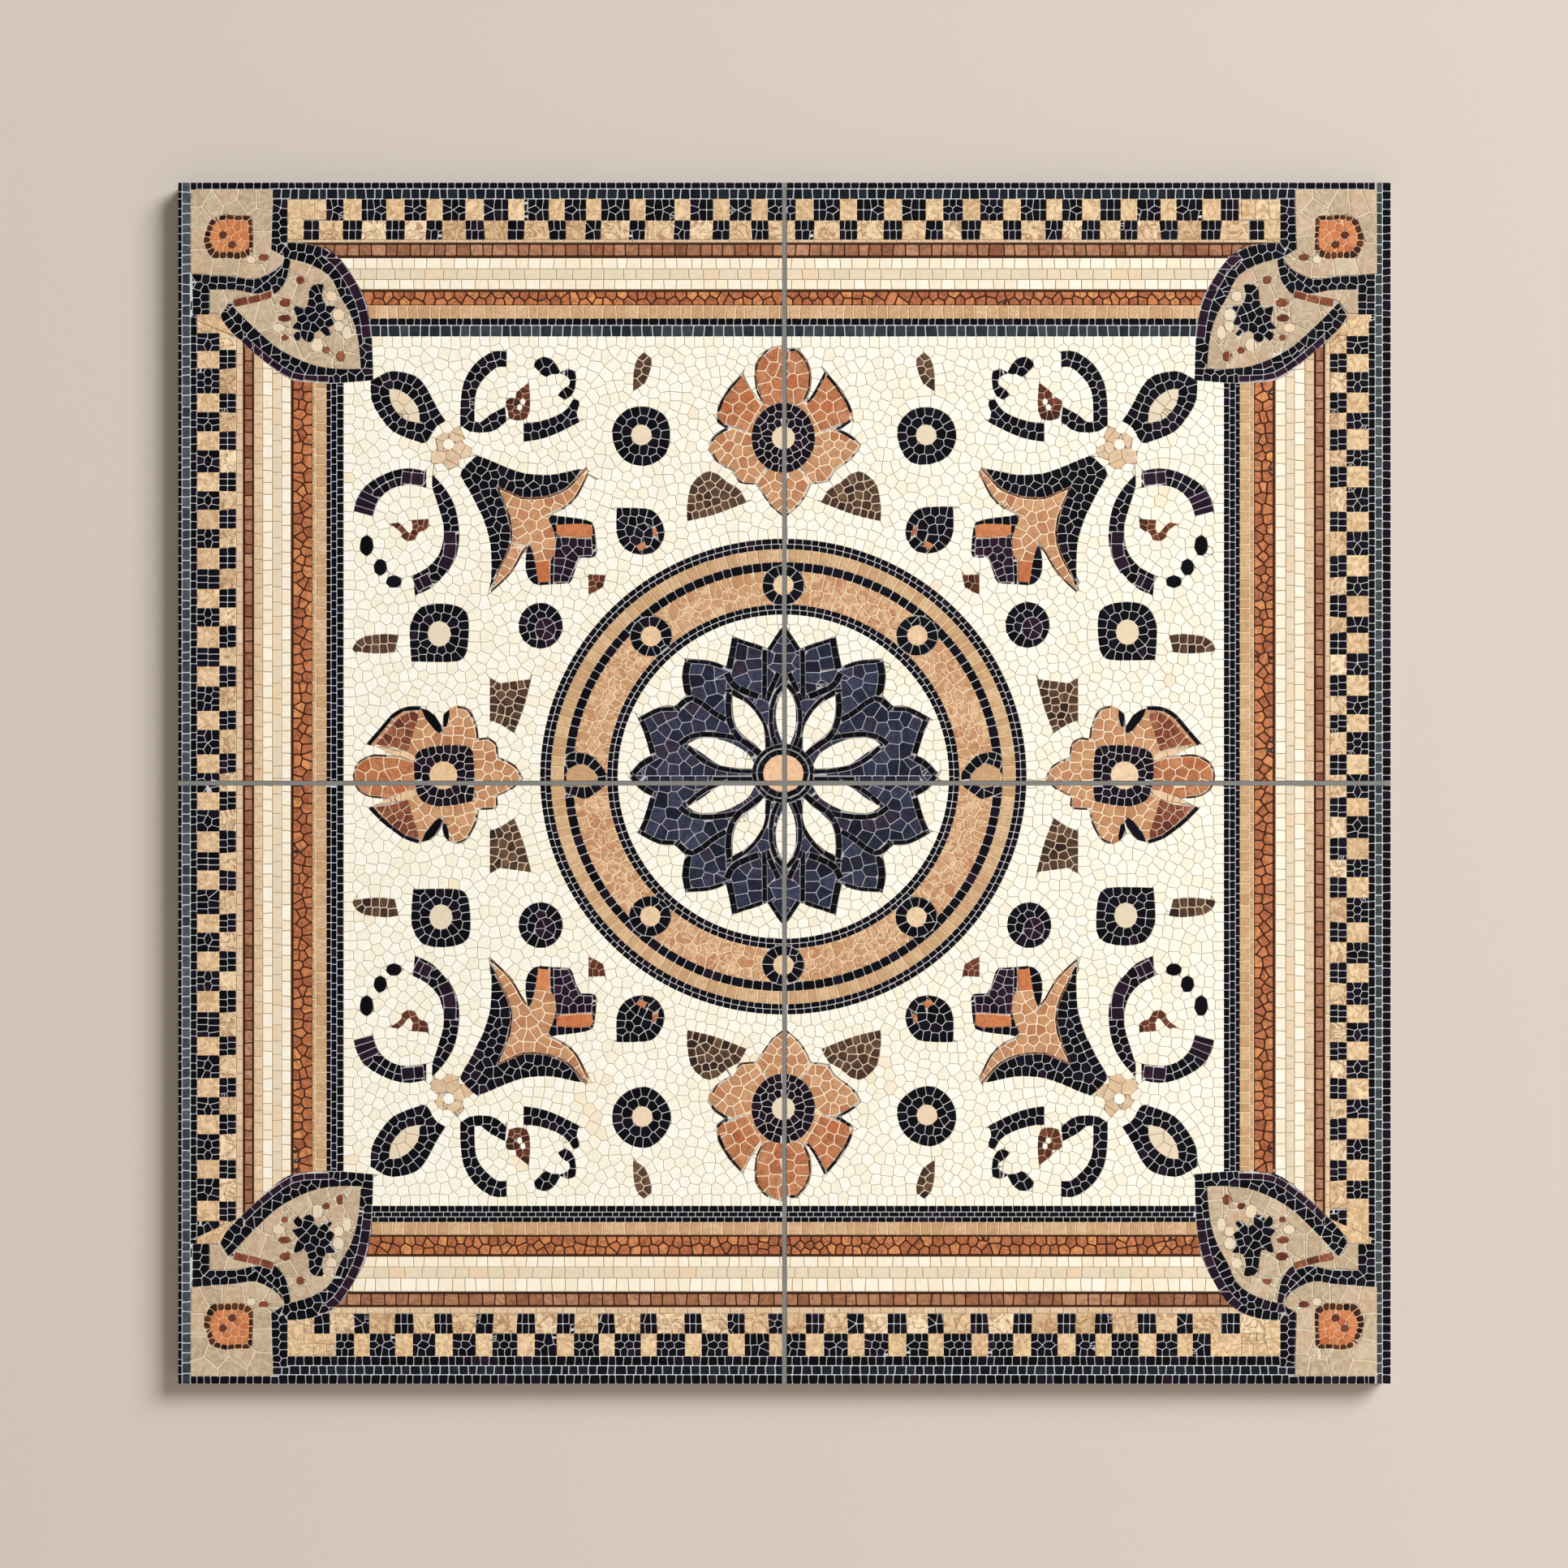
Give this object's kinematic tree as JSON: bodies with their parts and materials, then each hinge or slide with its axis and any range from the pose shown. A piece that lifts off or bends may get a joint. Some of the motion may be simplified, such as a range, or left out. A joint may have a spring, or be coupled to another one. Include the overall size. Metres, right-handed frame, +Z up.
{
  "type": "mosaic wall panel",
  "caption": "Square stone mosaic wall panel of joined boards, with a rosette medallion, flowers and leaves inside a banded and chequered border.",
  "frame": {"origin": "middle of the back, where the four boards meet, in the plane of the wall", "axes": "+Z up, +Y into the wall, +X to the right for a person who looks at the face"},
  "size_m": [1.2, 0.022, 1.1888],
  "materials": {
    "backing_board": "rough cement board",
    "grout_bed": "matt grout",
    "dark_stone": "honed",
    "checker_stone": "honed",
    "stripe_stone": "honed",
    "corner_square_stone": "honed",
    "corner_leaf_stone": "honed",
    "field_stone": "honed",
    "ring_stone": "honed",
    "ground_stone": "honed",
    "rosette_stone": "honed",
    "joint_strip": "smooth matt mortar"
  },
  "bodies": {
    "root": {"backing_board_top_left": "backing_board", "grout_bed_top_left": "grout_bed", "outer_border_top_left": "dark_stone", "checker_band_upright_top_left": "checker_stone", "checker_band_level_top_left": "checker_stone", "stripes_upright_top_left": "stripe_stone", "stripes_level_top_left": "stripe_stone", "corner_square_top_left": "corner_square_stone", "corner_leaf_top_left": "corner_leaf_stone", "field_top_left": "field_stone", "medallion_ring_top_left": "ring_stone", "medallion_ground_top_left": "ground_stone", "rosette_top_left": "rosette_stone", "backing_board_top_right": "backing_board", "grout_bed_top_right": "grout_bed", "outer_border_top_right": "dark_stone", "checker_band_upright_top_right": "checker_stone", "checker_band_level_top_right": "checker_stone", "stripes_upright_top_right": "stripe_stone", "stripes_level_top_right": "stripe_stone", "corner_square_top_right": "corner_square_stone", "corner_leaf_top_right": "corner_leaf_stone", "field_top_right": "field_stone", "medallion_ring_top_right": "ring_stone", "medallion_ground_top_right": "ground_stone", "rosette_top_right": "rosette_stone", "backing_board_bottom_left": "backing_board", "grout_bed_bottom_left": "grout_bed", "outer_border_bottom_left": "dark_stone", "checker_band_upright_bottom_left": "checker_stone", "checker_band_level_bottom_left": "checker_stone", "stripes_upright_bottom_left": "stripe_stone", "stripes_level_bottom_left": "stripe_stone", "corner_square_bottom_left": "corner_square_stone", "corner_leaf_bottom_left": "corner_leaf_stone", "field_bottom_left": "field_stone", "medallion_ring_bottom_left": "ring_stone", "medallion_ground_bottom_left": "ground_stone", "rosette_bottom_left": "rosette_stone", "backing_board_bottom_right": "backing_board", "grout_bed_bottom_right": "grout_bed", "outer_border_bottom_right": "dark_stone", "checker_band_upright_bottom_right": "checker_stone", "checker_band_level_bottom_right": "checker_stone", "stripes_upright_bottom_right": "stripe_stone", "stripes_level_bottom_right": "stripe_stone", "corner_square_bottom_right": "corner_square_stone", "corner_leaf_bottom_right": "corner_leaf_stone", "field_bottom_right": "field_stone", "medallion_ring_bottom_right": "ring_stone", "medallion_ground_bottom_right": "ground_stone", "rosette_bottom_right": "rosette_stone", "joint_strip": "joint_strip"}
  },
  "joints": []
}
